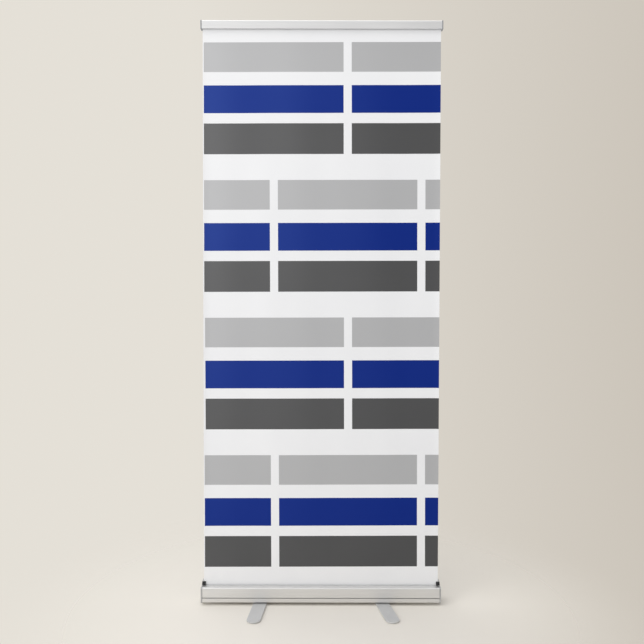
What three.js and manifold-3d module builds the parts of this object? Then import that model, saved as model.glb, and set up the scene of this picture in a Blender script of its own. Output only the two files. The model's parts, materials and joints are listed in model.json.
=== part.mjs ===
// Roll-up banner stand: a printed film on a sprung roller in an aluminium cassette, a snap rail along the
// film's top edge, a telescopic pole that holds the rail up from behind, and two turning feet.
// Millimetres. +X is to the right seen from the front, the front faces -Y, +Z is up, the floor is z = 0,
// and the origin lies midway between the two foot pivots.
import * as THREE from "three";
import { mergeVertices } from "three/addons/utils/BufferGeometryUtils.js";
import Module from "manifold-3d";

const wasm = await Module();
wasm.setup();

// ---------------------------------------------------------------- driving dimensions

const clearance = 0.3; // between pieces that touch or are fastened together
const runningGap = 0.5; // between pieces that slide or turn past each other
const beyond = 1; // how far a cutting tool runs on past what it cuts
const boreSides = 12; // of a small round hole
const screwSides = 16;

const film = { width: 850, thickness: 0.25, y: -10, belowRoof: 3 };
const standHeight = 2094; // floor to the top of the rail

const foot = { length: 380, width: 48, thickness: 4, padThickness: 2, padRadius: 17, pivotX: 217 };
const footSplay = { left: -4.5, right: 10 }; // degrees about +Z from straight ahead
const pin = { radius: 4, headRadius: 6.4, headRim: 0.5, pastNut: 2 };
const washer = { radius: 10, thickness: 1.4 };
const nut = { radius: 7.5, height: 5 };

const cassette = {
  wall: 2,
  frontReach: 30, // from the film's plane forward to the front face
  frontHeight: 57, // of the front face above the cassette's underside
  rearHeight: 68, // of the rounded back above the underside
  endPlay: 4, // the extrusions are this much longer than the film is wide
  seamHeight: 18, // the groove between the base and the front cover, above the underside
  seamWidth: 2.8,
  tongue: { depth: 2.5, thickness: 1.5, lap: 3 }, // of the cover, behind the groove
  chin: { back: 7, up: 5 }, // the cut corner under the front face
  shoulder: { down: 18, fromSlot: 26 }, // the rounded corner of the back
};
const slot = {
  front: 5, // from the film's plane to the lip before it
  rear: 6, // and to the lip behind it
  frontLip: 1,
  rearDip: 2, // the rear lip bends down this far
};
const cap = { thickness: 5, overhang: 0.8, bossWall: 3.5, bossRise: 2.2, boreFloor: 1.5 };
const guide = { width: 12, rise: 13, depth: 17, past: 5, sill: 3, capFace: 1.3 };
const screw = { radius: 2, headRadius: 3.8, headDepth: 2.2, headRim: 0.3, length: 16 };
const screwBossShape = { wall: 1.8, sink: 0.6, frontSetback: 2, rearDrop: 27 };

const roller = { radius: 14, wall: 1.3, shorter: 8, flange: 3, plugDepth: 14 };
const leader = { thickness: 1.2 }; // film that always stays wound on the roller
const axle = { radius: 4, springLength: 380, idleLength: 34 };
const spring = { radius: 9.5, wire: 1.6, turns: 9, length: 300, fromEnd: 20, stepsPerTurn: 8 };

const rail = {
  height: 30,
  wall: 2.5,
  endPlay: 4, // longer than the film is wide
  backPlate: 4, // from the film's plane to the front of the plate behind it
  grooveBack: 10.3, // the hook's groove runs from the back plate to here
  lipBack: 12.5, // from the film's plane to the back of the rail
  lipDrop: 14, // of the groove's rear wall, from the top
  ribs: [[2, 5], [15, 17]], // behind the film, from and to these heights
  rootDepth: 0.5, // a rib or web runs this far into the plate it stands on
};
const railEnd = { thickness: 4, overhang: 0.8, tenon: 16, tenonFoot: 5, tenonTop: 15 };
const jaw = {
  reach: 11, // from the film's plane to the front face
  wall: 1.8,
  foot: 0.6, // the front plate stops this far above the rail's lower edge
  beadRadius: 2,
  beadWeb: 0.8, // half of the web that carries the bead
  play: 0.35, // between the bead and the claw
  clawWall: 1.65,
  clawFrom: 118, // degrees round the bead
  clawTo: 300,
  roofGap: 0.4,
  gripDepth: 2,
  gripHeight: 4,
};
const hook = { thickness: 2.8, width: 24, rise: 11, armHeight: 8, armTop: 10, plugDepth: 18 };

const pole = {
  lowerRadius: 8, // of the lowest and widest section
  wall: 1,
  lowerTop: 745, // along the pole, from the socket's floor
  middleTop: 1410,
  overlap: 60, // of each inner section in the one outside it
  behindRail: 6, // from the back of the rail to the front of the upper section
};
const socket = { wall: 2, floor: 2.5, rim: 3 };
const collar = { radius: 11.5, grip: 24, neck: 12, taper: 2.5 };
const bush = { flange: 8, depth: 10 }; // of the guides on the inner sections
const footPlugShape = { flange: 3, depth: 12 };

// ---------------------------------------------------------------- places worked out from them

const halfFilm = film.width / 2;
const footTop = foot.padThickness + foot.thickness;
const underside = footTop + washer.thickness + 2 * clearance;
const floorTop = underside + cassette.wall;
const frontTop = underside + cassette.frontHeight;
const rearTop = underside + cassette.rearHeight;
const frontFace = film.y - cassette.frontReach;
const halfExtrusion = (film.width + cassette.endPlay) / 2;
const capInner = halfExtrusion + clearance;
const guideTop = frontTop + guide.rise;

const railBottom = standHeight - rail.height;
const railTravel = railBottom - guideTop - 2; // the rail comes down onto the slot guides
const coilRadius = roller.radius + clearance + leader.thickness;
const fullRoll = Math.sqrt(coilRadius ** 2 + (film.thickness * railTravel) / Math.PI);
const rollerY = film.y + film.thickness / 2 + clearance + coilRadius;
const rollGap = 4; // between the nuts and a full roll
const rollerZ = floorTop + nut.height + rollGap + fullRoll;
const halfRoller = (film.width - roller.shorter) / 2;

const middleRadius = pole.lowerRadius - pole.wall - runningGap;
const upperRadius = middleRadius - pole.wall - runningGap;
const socketRadius = pole.lowerRadius + clearance + socket.wall;
const poleFoot = { y: rollerY + fullRoll + 2 + socketRadius, z: floorTop + clearance };
const backFace = poleFoot.y + socketRadius + runningGap + cassette.wall;

const railBack = film.y + rail.lipBack;
const poleTop = { y: railBack + pole.behindRail + upperRadius, z: railBottom - hook.armHeight };
const lean = Math.atan2(poleFoot.y - poleTop.y, poleTop.z - poleFoot.z);
const poleLength = Math.hypot(poleFoot.y - poleTop.y, poleTop.z - poleFoot.z);

// Where the pole's axis passes the cassette's top.
const poleHoleY = poleFoot.y - (rearTop - poleFoot.z) * Math.tan(lean);

// ---------------------------------------------------------------- shapes

// A point in the cross-section plane (y, z).
const at = (y, z) => new THREE.Vector2(y, z);

// Points on an arc about (cy, cz), from angle a0 to a1 in degrees.
function arc(cy, cz, radius, a0, a1, steps) {
  const points = [];
  for (let i = 0; i <= steps; i++) {
    const a = THREE.MathUtils.degToRad(a0 + ((a1 - a0) * i) / steps);
    points.push(at(cy + radius * Math.cos(a), cz + radius * Math.sin(a)));
  }
  return points;
}

// A counterclockwise outline of corners [y, z, radius], each rounded by a short arc.
// At a corner that points into the outline the arc runs the other way.
function rounded(corners, steps = 4) {
  return corners.flatMap(([y, z, radius], i) => {
    const corner = at(y, z);
    const before = corners.at(i - 1);
    const after = corners[(i + 1) % corners.length];
    const back = at(before[0], before[1]).sub(corner).normalize();
    const on = at(after[0], after[1]).sub(corner).normalize();
    const half = Math.acos(THREE.MathUtils.clamp(back.dot(on), -1, 1)) / 2;
    const inward = back.clone().add(on).normalize();
    const centre = corner.clone().addScaledVector(inward, radius / Math.sin(half));
    const start = corner.clone().addScaledVector(back, radius / Math.tan(half)).sub(centre).angle();
    let end = corner.clone().addScaledVector(on, radius / Math.tan(half)).sub(centre).angle();
    const outward = back.cross(on) < 0;
    if (outward && end < start) end += 2 * Math.PI;
    if (!outward && end > start) end -= 2 * Math.PI;
    const degrees = THREE.MathUtils.radToDeg;
    return arc(centre.x, centre.y, radius, degrees(start), degrees(end), steps);
  });
}

// The same outline moved inwards by a wall's thickness.
function inset(corners, wall) {
  const count = corners.length;
  const lines = corners.map(([y, z], i) => {
    const next = corners[(i + 1) % count];
    const along = at(next[0] - y, next[1] - z).normalize();
    return { from: at(y - along.y * wall, z + along.x * wall), along };
  });
  return corners.map(([, , radius], i) => {
    const a = lines.at(i - 1);
    const b = lines[i];
    const across = b.from.clone().sub(a.from).cross(b.along) / a.along.cross(b.along);
    const corner = a.from.clone().addScaledVector(a.along, across);
    return [corner.x, corner.y, Math.max(radius - wall, 0.5)];
  });
}

// A cross-section in (y, z) extruded along X.
function alongX(points, x0, x1) {
  const geometry = new THREE.ExtrudeGeometry(new THREE.Shape(points), {
    depth: x1 - x0,
    bevelEnabled: false,
    curveSegments: 1,
  });
  const turn = new THREE.Matrix4().makeBasis(
    new THREE.Vector3(0, 1, 0),
    new THREE.Vector3(0, 0, 1),
    new THREE.Vector3(1, 0, 0),
  );
  return geometry.applyMatrix4(turn).translate(x0, 0, 0);
}

// A block between two corners.
function block([x0, y0, z0], [x1, y1, z1]) {
  const box = new THREE.BoxGeometry(x1 - x0, y1 - y0, z1 - z0);
  return box.translate((x0 + x1) / 2, (y0 + y1) / 2, (z0 + z1) / 2);
}

// A turned piece about Z. The profile is a closed list of [radius, z], counterclockwise.
function turned(profile, segments = 20) {
  const points = [...profile, profile[0]].map(([r, z]) => at(r, z));
  return new THREE.LatheGeometry(points, segments).rotateX(Math.PI / 2);
}

// A tube or a disc about Z.
const ring = (inner, outer, z0, z1, segments) =>
  turned([[inner, z0], [outer, z0], [outer, z1], [inner, z1]], segments);
const disc = (radius, z0, z1, segments) =>
  turned([[0, z0], [radius, z0], [radius, z1], [0, z1]], segments);

// Lays a piece made about Z along X instead, with its z = 0 end at x. Side -1 points it to the left.
const layAlongX = (geometry, side, x, y, z) =>
  geometry.rotateY((side * Math.PI) / 2).translate(side * x, y, z);

// ---------------------------------------------------------------- cuts and joins

function solid(geometry) {
  const bare = geometry.clone();
  bare.deleteAttribute("normal");
  bare.deleteAttribute("uv");
  const merged = mergeVertices(bare, 1e-4);
  const mesh = new wasm.Mesh({
    numProp: 3,
    vertProperties: merged.attributes.position.array,
    triVerts: new Uint32Array(merged.index.array),
  });
  return new wasm.Manifold(mesh);
}

function geometryOf(made) {
  const mesh = made.getMesh();
  const geometry = new THREE.BufferGeometry();
  geometry.setAttribute("position", new THREE.BufferAttribute(mesh.vertProperties, 3));
  geometry.setIndex(new THREE.BufferAttribute(mesh.triVerts, 1));
  return geometry;
}

const joined = (...pieces) => geometryOf(pieces.map(solid).reduce((all, piece) => all.add(piece)));
const cut = (piece, ...tools) =>
  geometryOf(tools.map(solid).reduce((left, tool) => left.subtract(tool), solid(piece)));

// ---------------------------------------------------------------- materials

const finish = (color, roughness, metalness) =>
  new THREE.MeshStandardMaterial({ color, roughness, metalness });
const aluminium = finish(0xc6c4c0, 0.38, 1);
const endCapGrey = finish(0xc9c7c3, 0.45, 0.2);
const footSteel = finish(0xb4b4b2, 0.4, 0.7);
const zincSteel = finish(0x9a9c9e, 0.35, 1);
const blackPlastic = finish(0x16161a, 0.55, 0);
const greyPlastic = finish(0x55575b, 0.5, 0);
const rubber = finish(0x1b1b1c, 0.85, 0);
const filmWhite = finish(0xf2f2f2, 0.45, 0);
const springSteel = finish(0x6d6f73, 0.4, 1);

const stand = new THREE.Group();

function add(parent, name, geometry, material) {
  const mesh = new THREE.Mesh(geometry, material);
  mesh.name = name;
  parent.add(mesh);
  return mesh;
}

const sides = [["left", -1], ["right", 1]];

// ---------------------------------------------------------------- cassette

// The outer outline of the cassette, [y, z, corner radius]: a flat front with a rounded chin, and a back that
// rises behind the slot.
const cassetteOutline = [
  [frontFace + cassette.chin.back, underside, 3],
  [backFace, underside, 2.6],
  [backFace, rearTop - cassette.shoulder.down, 12],
  [film.y + slot.rear + cassette.shoulder.fromSlot, rearTop, 20],
  [film.y + slot.rear, rearTop - slot.rearDip, 1],
  [film.y - slot.front + slot.frontLip, frontTop, 0.8],
  [frontFace, frontTop, 4],
  [frontFace, underside + cassette.chin.up, 3],
];
const bossRadius = screw.radius + clearance + screwBossShape.wall;
const bossInset = cassette.wall + bossRadius - screwBossShape.sink; // so that each boss runs into its wall
const screwPlaces = [
  ["front", frontFace + bossInset + screwBossShape.frontSetback, underside + bossInset],
  ["rear", backFace - bossInset, rearTop - screwBossShape.rearDrop],
];

// A round bar, or the tool for a bore, that runs along X through (y, z).
function rodAlongX(radius, half, y, z) {
  return disc(radius, 0, 2 * half, boreSides).rotateY(Math.PI / 2).translate(-half, y, z);
}

function cassetteShells() {
  const outline = alongX(rounded(cassetteOutline), -halfExtrusion, halfExtrusion);
  const innerOutline = rounded(inset(cassetteOutline, cassette.wall));
  const hollow = alongX(innerOutline, -halfExtrusion - beyond, halfExtrusion + beyond);
  const past = halfExtrusion + 2 * beyond;
  const above = rearTop + 20;
  const seam = underside + cassette.seamHeight;
  const slotFloor = seam + 20; // below the slot's lips, and clear of the seam
  const slotBox = block([-past, film.y - slot.front, slotFloor], [past, film.y + slot.rear, above]);
  const forward = [-past, frontFace - beyond];
  const cover = [[...forward, seam + cassette.seamWidth], [past, film.y, above]];
  const aboveSeam = block([...forward, seam], [past, film.y, above]);
  const shell = cut(outline, hollow, slotBox);

  const clearOfFloor = floorTop + 8;
  const poleHole = disc(socketRadius + runningGap, clearOfFloor, above).translate(0, poleHoleY, 0);
  const floorHole = (radius, x, y, segments) =>
    disc(radius, underside - beyond, floorTop + beyond, segments).translate(x, y, 0);
  const pinHoles = sides.map(([, side]) => floorHole(pin.radius + clearance, side * foot.pivotX, 0));
  const socketScrewHole = floorHole(screw.radius + runningGap, 0, poleFoot.y, boreSides);
  const bosses = screwPlaces.map(([, y, z]) => rodAlongX(bossRadius, halfExtrusion, y, z));
  const screwBore = screw.radius + clearance;
  const screwHoles = screwPlaces.map(([, y, z]) => rodAlongX(screwBore, halfExtrusion + beyond, y, z));
  const base = cut(
    joined(cut(shell, aboveSeam), ...bosses),
    ...screwHoles,
    poleHole,
    socketScrewHole,
    ...pinHoles,
  );

  // The cover hooks behind the base's lower band with a tongue that closes the seam.
  const inner = frontFace + cassette.wall;
  const coverFoot = seam + cassette.seamWidth;
  const { depth, thickness, lap } = cassette.tongue;
  const sink = 0.5; // into the cover's wall, and into the tongue
  const ledge = (y0, z0, y1) => block([-halfExtrusion, y0, z0], [halfExtrusion, y1, coverFoot + lap]);
  const tongue = ledge(inner + depth, seam - lap, inner + depth + thickness);
  const root = ledge(inner - sink, coverFoot, inner + depth + sink);
  const front = geometryOf(solid(shell).intersect(solid(block(...cover))));
  return { base, front: joined(front, root, tongue) };
}

function endCap(side) {
  const outer = rounded(inset(cassetteOutline, -cap.overhang));
  const x0 = capInner;
  const x1 = capInner + cap.thickness;
  const plate = alongX(outer, x0, x1);
  const axleCircle = (radius) => arc(rollerY, rollerZ, radius, 0, 345, 23);
  const boss = alongX(axleCircle(axle.radius + cap.bossWall), x0 - cap.bossRise, x0 + beyond);
  const bore = alongX(
    axleCircle(axle.radius + clearance),
    x0 - cap.bossRise - beyond,
    x1 - cap.boreFloor,
  );
  const play = 0.2; // beside the slot guide
  const notch = block(
    [x0 - beyond, film.y - slot.front - play, frontTop - guide.sill],
    [x1 - 1, film.y - film.thickness / 2 - clearance + play, rearTop + 20],
  );
  const holes = screwPlaces.flatMap(([, y, z]) => {
    const boreRadius = screw.radius + clearance;
    const sinkRadius = screw.headRadius + clearance;
    const sinkFloor = cap.thickness - screw.headDepth - clearance;
    const through = disc(boreRadius, -beyond, cap.thickness + beyond, screwSides);
    const sink = turned(
      [
        [0, sinkFloor],
        [boreRadius, sinkFloor],
        [sinkRadius, cap.thickness - screw.headRim],
        [sinkRadius, cap.thickness + beyond],
        [0, cap.thickness + beyond],
      ],
      screwSides,
    );
    return [through, sink].map((tool) => tool.rotateY(Math.PI / 2).translate(x0, y, z));
  });
  const made = cut(joined(plate, boss), bore, notch, ...holes);
  return side > 0 ? made : mirrored(made);
}

// The left-hand copy of a right-hand piece.
function mirrored(geometry) {
  return geometryOf(solid(geometry).mirror([1, 0, 0]));
}

function countersunkScrew() {
  return turned(
    [
      [0, -screw.length],
      [screw.radius, -screw.length],
      [screw.radius, -screw.headDepth],
      [screw.headRadius, -screw.headRim],
      [screw.headRadius, 0],
      [0, 0],
    ],
    screwSides,
  );
}

// A black block at each end of the slot guides the film's edge, and the rail comes down onto it.
function slotGuide(side) {
  const inside = halfFilm - guide.width + guide.past;
  const outside = capInner + cap.thickness - guide.capFace;
  const front = film.y - slot.front + clearance;
  const back = film.y - film.thickness / 2 - clearance;
  const sill = frontTop - guide.sill + clearance;
  const made = joined(
    block([inside, front, guideTop - guide.rise - guide.depth], [halfExtrusion, back, guideTop]),
    block([halfExtrusion - 1, front, sill], [outside, back, guideTop]),
  );
  return side > 0 ? made : mirrored(made);
}

const shells = cassetteShells();
add(stand, "cassette_base", shells.base, aluminium);
add(stand, "cassette_front_cover", shells.front, aluminium);
for (const [name, side] of sides) {
  add(stand, `end_cap_${name}`, endCap(side), endCapGrey);
  add(stand, `slot_guide_${name}`, slotGuide(side), blackPlastic);
  for (const [place, y, z] of screwPlaces) {
    const geometry = layAlongX(countersunkScrew(), side, capInner + cap.thickness, y, z);
    add(stand, `cap_screw_${name}_${place}`, geometry, zincSteel);
  }
}

// ---------------------------------------------------------------- roller

// A plug in each end of the roller turns on a fixed axle that sits in the end cap.
function rollerPlug() {
  const inner = roller.radius - roller.wall - clearance;
  return turned([
    [axle.radius + clearance, -roller.plugDepth],
    [inner, -roller.plugDepth],
    [inner, clearance],
    [roller.radius, clearance],
    [roller.radius, roller.flange],
    [axle.radius + clearance, roller.flange],
  ]);
}

function rollerSpring() {
  class Coil extends THREE.Curve {
    getPoint(t) {
      const a = 2 * Math.PI * spring.turns * t;
      const x = spring.length * (0.5 - t);
      return new THREE.Vector3(x, spring.radius * Math.cos(a), spring.radius * Math.sin(a));
    }
  }
  const h = spring.wire / 2;
  const section = new THREE.Shape([at(-h, -h), at(h, -h), at(h, h), at(-h, h)]);
  const steps = spring.turns * spring.stepsPerTurn;
  return new THREE.ExtrudeGeometry(section, { steps, extrudePath: new Coil(), bevelEnabled: false });
}

const rollerGroup = new THREE.Group();
rollerGroup.position.set(0, rollerY, rollerZ);
stand.add(rollerGroup);
const tube = ring(roller.radius - roller.wall, roller.radius, -halfRoller, halfRoller);
add(rollerGroup, "roller_tube", tube.rotateY(Math.PI / 2), aluminium);
const coil = ring(roller.radius + clearance, coilRadius, -halfRoller, halfRoller, 32);
add(rollerGroup, "banner_leader_coil", coil.rotateY(Math.PI / 2), filmWhite);
for (const [name, side] of sides) {
  add(rollerGroup, `roller_plug_${name}`, layAlongX(rollerPlug(), side, halfRoller, 0, 0), blackPlastic);
}
const axleEnd = capInner + cap.thickness - cap.boreFloor - clearance;
const axleShape = (length, side) => layAlongX(disc(axle.radius, -length, 0), side, axleEnd, 0, 0);
add(rollerGroup, "roller_axle_left", axleShape(axle.idleLength, -1), zincSteel);
add(rollerGroup, "roller_axle_right", axleShape(axle.springLength, 1), zincSteel);
const springX = halfRoller - spring.fromEnd - spring.length / 2;
add(rollerGroup, "roller_spring", rollerSpring().translate(springX, 0, 0), springSteel);

// ---------------------------------------------------------------- film and rail

const sheet = block(
  [-halfFilm, film.y - film.thickness / 2, rollerZ],
  [halfFilm, film.y + film.thickness / 2, standHeight - rail.wall - film.belowRoof],
);
add(stand, "banner_graphic", sheet, filmWhite);

const railGroup = new THREE.Group(); // its y = 0 is the film's plane, its z = 0 the rail's lower edge
railGroup.position.set(0, film.y, railBottom);
stand.add(railGroup);

const halfRail = (film.width + rail.endPlay) / 2;
const nip = film.thickness / 2 + clearance; // from the film's plane to what grips it
const clawInner = jaw.beadRadius + jaw.play;
const clawOuter = clawInner + jaw.clawWall;
const beadY = clawOuter - jaw.reach;
const beadZ = rail.height - clawOuter;

const bar = (y0, z0, y1, z1) => block([-halfRail, y0, z0], [halfRail, y1, z1]);

// The fixed half: a back plate with two ribs behind the film, a groove behind for the pole's hook, and
// a bead along the top front edge that the jaw turns on.
function railBackPiece() {
  const top = rail.height;
  const roof = beadY + clawOuter + jaw.roofGap;
  const webFoot = beadZ - jaw.beadWeb;
  const { backPlate, grooveBack, lipBack, lipDrop, rootDepth } = rail;
  return joined(
    bar(backPlate, 0, backPlate + rail.wall, top),
    bar(roof, top - rail.wall, lipBack, top),
    bar(grooveBack, top - lipDrop, lipBack, top),
    bar(roof, webFoot, roof + jaw.wall, top),
    bar(beadY, webFoot, roof + rootDepth, beadZ + jaw.beadWeb),
    ...rail.ribs.map(([foot, head]) => bar(nip, foot, backPlate + rootDepth, head)),
    alongX(arc(beadY, beadZ, jaw.beadRadius, 0, 337.5, 15), -halfRail, halfRail),
  );
}

// The front plate, which snaps over the bead and swings up to let the film in.
function railJawPiece() {
  const claw = [
    ...arc(beadY, beadZ, clawOuter, jaw.clawFrom, jaw.clawTo, 10),
    ...arc(beadY, beadZ, clawInner, jaw.clawTo, jaw.clawFrom, 10),
  ];
  const gripFront = -nip - jaw.gripDepth - clearance;
  return joined(
    alongX(claw, -halfRail, halfRail),
    bar(-jaw.reach, jaw.foot, -jaw.reach + jaw.wall, beadZ),
    bar(-jaw.reach, jaw.foot, gripFront, jaw.foot + jaw.wall),
    bar(gripFront - jaw.wall, jaw.foot, gripFront, jaw.gripHeight),
  );
}

function railCap(side) {
  const { thickness, overhang, tenon, tenonFoot, tenonTop } = railEnd;
  const front = -jaw.reach - overhang;
  const back = rail.lipBack + overhang;
  const top = rail.height + overhang;
  const outline = rounded([[front, -overhang, 2], [back, -overhang, 2], [back, top, 2], [front, top, 4]], 3);
  const x0 = halfRail + clearance;
  const tongue = block(
    [x0 - tenon, nip, tenonFoot + clearance],
    [x0 + 1, rail.backPlate - clearance, tenonTop - clearance],
  );
  const made = joined(alongX(outline, x0, x0 + thickness), tongue);
  return side > 0 ? made : mirrored(made);
}

add(railGroup, "rail_back", railBackPiece(), aluminium);
add(railGroup, "rail_jaw", railJawPiece(), aluminium);
const stripFoot = 1; // above the rail's lower edge
const strip = block(
  [-halfFilm, -nip - jaw.gripDepth, stripFoot],
  [halfFilm, -nip, stripFoot + jaw.gripHeight],
);
add(railGroup, "rail_grip_strip", strip, rubber);
for (const [name, side] of sides) add(railGroup, `rail_cap_${name}`, railCap(side), greyPlastic);

// ---------------------------------------------------------------- pole

const poleGroup = new THREE.Group(); // its z runs up the pole's leaning axis
poleGroup.position.set(0, poleFoot.y, poleFoot.z);
poleGroup.rotation.x = lean;
stand.add(poleGroup);
poleGroup.updateMatrixWorld(true);

const headPlay = 0.2; // between the floor and the socket screw's head
const screwHeadDrop = cassette.wall + 2 * clearance + screw.headDepth + headPlay; // below the socket
const screwHoleDepth = screw.length - screwHeadDrop + clearance;
const socketBase = screwHoleDepth + socket.floor;
const poleStart = socketBase + clearance;
const lowerInner = pole.lowerRadius - pole.wall;
const middleInner = middleRadius - pole.wall;
const upperInner = upperRadius - pole.wall;

// A cup for the pole's foot, screwed down through the cassette's floor.
function poleSocket() {
  const bore = pole.lowerRadius + clearance;
  const top = rearTop + socket.rim - poleFoot.z;
  const hole = screw.radius + clearance;
  return turned([
    [hole, 0],
    [socketRadius, 0],
    [socketRadius, top],
    [bore, top],
    [bore, socketBase],
    [0, socketBase],
    [0, screwHoleDepth],
    [hole, screwHoleDepth],
  ]);
}

// A flanged plug closes a section's lower end, or guides it in the section outside it.
function sectionPlug(outer, inner, flange, depth) {
  return turned([
    [0, 0],
    [outer, 0],
    [outer, flange],
    [inner - clearance, flange],
    [inner - clearance, flange + depth],
    [0, flange + depth],
  ]);
}

// A twist lock grips the section above it where it leaves the section below.
function twistLock(below, above, end) {
  return turned([
    [below + clearance, end - collar.grip],
    [collar.radius, end - collar.grip],
    [collar.radius, end],
    [collar.radius - collar.taper, end + collar.neck],
    [above + clearance, end + collar.neck],
    [above + clearance, end + clearance],
    [below + clearance, end + clearance],
  ]);
}

// The head plugs into the upper section and reaches forward under the rail, with a blade that stands up
// in the rail's groove.
function poleHead() {
  const bladeMiddle = film.y + (rail.backPlate + rail.wall + rail.grooveBack) / 2;
  const armTop = railBottom + hook.armTop;
  const half = hook.width / 2;
  const bladeTop = standHeight - rail.wall - clearance;
  const headRadius = upperRadius + 1;
  const arm = block(
    [-half, bladeMiddle - hook.thickness / 2, armTop - hook.armHeight],
    [half, poleTop.y + headRadius, armTop],
  );
  const blade = block(
    [-half, bladeMiddle - hook.thickness / 2, armTop - 1],
    [half, bladeMiddle + hook.thickness / 2, bladeTop],
  );
  const toPole = poleGroup.matrixWorld.clone().invert();
  const neck = turned([
    [0, poleLength - hook.plugDepth],
    [upperInner - clearance, poleLength - hook.plugDepth],
    [upperInner - clearance, poleLength + clearance],
    [headRadius, poleLength + clearance],
    [headRadius, poleLength + hook.rise],
    [0, poleLength + hook.rise],
  ]);
  return joined(neck, arm.applyMatrix4(toPole), blade.applyMatrix4(toPole));
}

add(poleGroup, "pole_socket", poleSocket(), blackPlastic);
const socketScrew = countersunkScrew().rotateX(Math.PI).translate(0, 0, -screwHeadDrop);
add(poleGroup, "pole_socket_screw", socketScrew, zincSteel);

const lowerEnd = pole.lowerTop;
const lowerStart = poleStart + footPlugShape.flange + clearance;
const lowerTube = ring(lowerInner, pole.lowerRadius, lowerStart, lowerEnd);
add(poleGroup, "pole_lower", lowerTube, aluminium);
const footPlug = sectionPlug(pole.lowerRadius, lowerInner, footPlugShape.flange, footPlugShape.depth);
add(poleGroup, "pole_foot_plug", footPlug.translate(0, 0, poleStart), blackPlastic);

const middleStart = lowerEnd - pole.overlap;
const middleTube = ring(middleInner, middleRadius, middleStart, pole.middleTop);
add(poleGroup, "pole_middle", middleTube, aluminium);
const bushFlange = bush.flange - clearance;
const middleBush = sectionPlug(lowerInner - clearance, middleInner, bushFlange, bush.depth);
add(poleGroup, "pole_bush_middle", middleBush.translate(0, 0, middleStart - bush.flange), blackPlastic);

const upperStart = pole.middleTop - pole.overlap;
const upperTube = ring(upperInner, upperRadius, upperStart, poleLength);
add(poleGroup, "pole_upper", upperTube, aluminium);
const upperBush = sectionPlug(middleInner - clearance, upperInner, bushFlange, bush.depth);
add(poleGroup, "pole_bush_upper", upperBush.translate(0, 0, upperStart - bush.flange), blackPlastic);

add(poleGroup, "pole_lock_lower", twistLock(pole.lowerRadius, middleRadius, lowerEnd), blackPlastic);
add(poleGroup, "pole_lock_upper", twistLock(middleRadius, upperRadius, pole.middleTop), blackPlastic);
add(poleGroup, "pole_head", poleHead(), blackPlastic);

// ---------------------------------------------------------------- feet

// The pivot pin's outline from the underside of its head up, grown by g to cut the hole it turns in.
function pinProfile(g, top) {
  const z = foot.padThickness;
  return [
    [0, z - g],
    [pin.headRadius + g, z - g],
    [pin.headRadius + g, z + pin.headRim],
    [pin.radius + g, z + pin.headRim + pin.headRadius - pin.radius],
    [pin.radius + g, top],
    [0, top],
  ];
}

const footReach = foot.length / 2 - foot.width / 2; // from the pivot to the middle of each rounded end

function footBar() {
  const outline = [
    ...arc(0, footReach, foot.width / 2, 0, 180, 16),
    ...arc(0, -footReach, foot.width / 2, 180, 360, 16),
  ];
  const plain = { depth: foot.thickness, bevelEnabled: false };
  const plate = new THREE.ExtrudeGeometry(new THREE.Shape(outline), plain);
  const pinHole = turned(pinProfile(clearance, footTop + beyond));
  return cut(plate.translate(0, 0, foot.padThickness), pinHole);
}

function hexNut() {
  const outline = new THREE.Shape(arc(0, 0, nut.radius, 0, 300, 5));
  const body = new THREE.ExtrudeGeometry(outline, { depth: nut.height, bevelEnabled: false });
  const bore = disc(pin.radius + clearance, -beyond, nut.height + beyond);
  return cut(body, bore).translate(0, 0, floorTop + clearance);
}

for (const [name, side] of sides) {
  const pivot = new THREE.Group();
  pivot.position.x = side * foot.pivotX;
  stand.add(pivot);
  const pinTop = floorTop + nut.height + pin.pastNut;
  const washerRing = ring(pin.radius + clearance, washer.radius, footTop + clearance, underside - clearance);
  add(pivot, `foot_pivot_pin_${name}`, turned(pinProfile(0, pinTop)), zincSteel);
  add(pivot, `foot_washer_${name}`, washerRing, greyPlastic);
  add(pivot, `foot_nut_${name}`, hexNut(), zincSteel);

  const turning = new THREE.Group();
  turning.rotation.z = THREE.MathUtils.degToRad(footSplay[name]);
  pivot.add(turning);
  add(turning, `foot_${name}`, footBar(), footSteel);
  for (const [end, way] of [["front", -1], ["rear", 1]]) {
    const pad = disc(foot.padRadius, 0, foot.padThickness - clearance);
    pad.translate(0, way * footReach, 0);
    add(turning, `foot_pad_${name}_${end}`, pad, rubber);
  }
}

export default stand;
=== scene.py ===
"""The looks of a roll-up banner stand: printed film, anodised extrusions, moulded caps, pole and feet.

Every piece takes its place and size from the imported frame. Metres, +Z up, and the front faces -Y.
"""

import json
import math

import bmesh
import bpy
from mathutils import Matrix, Vector


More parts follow.
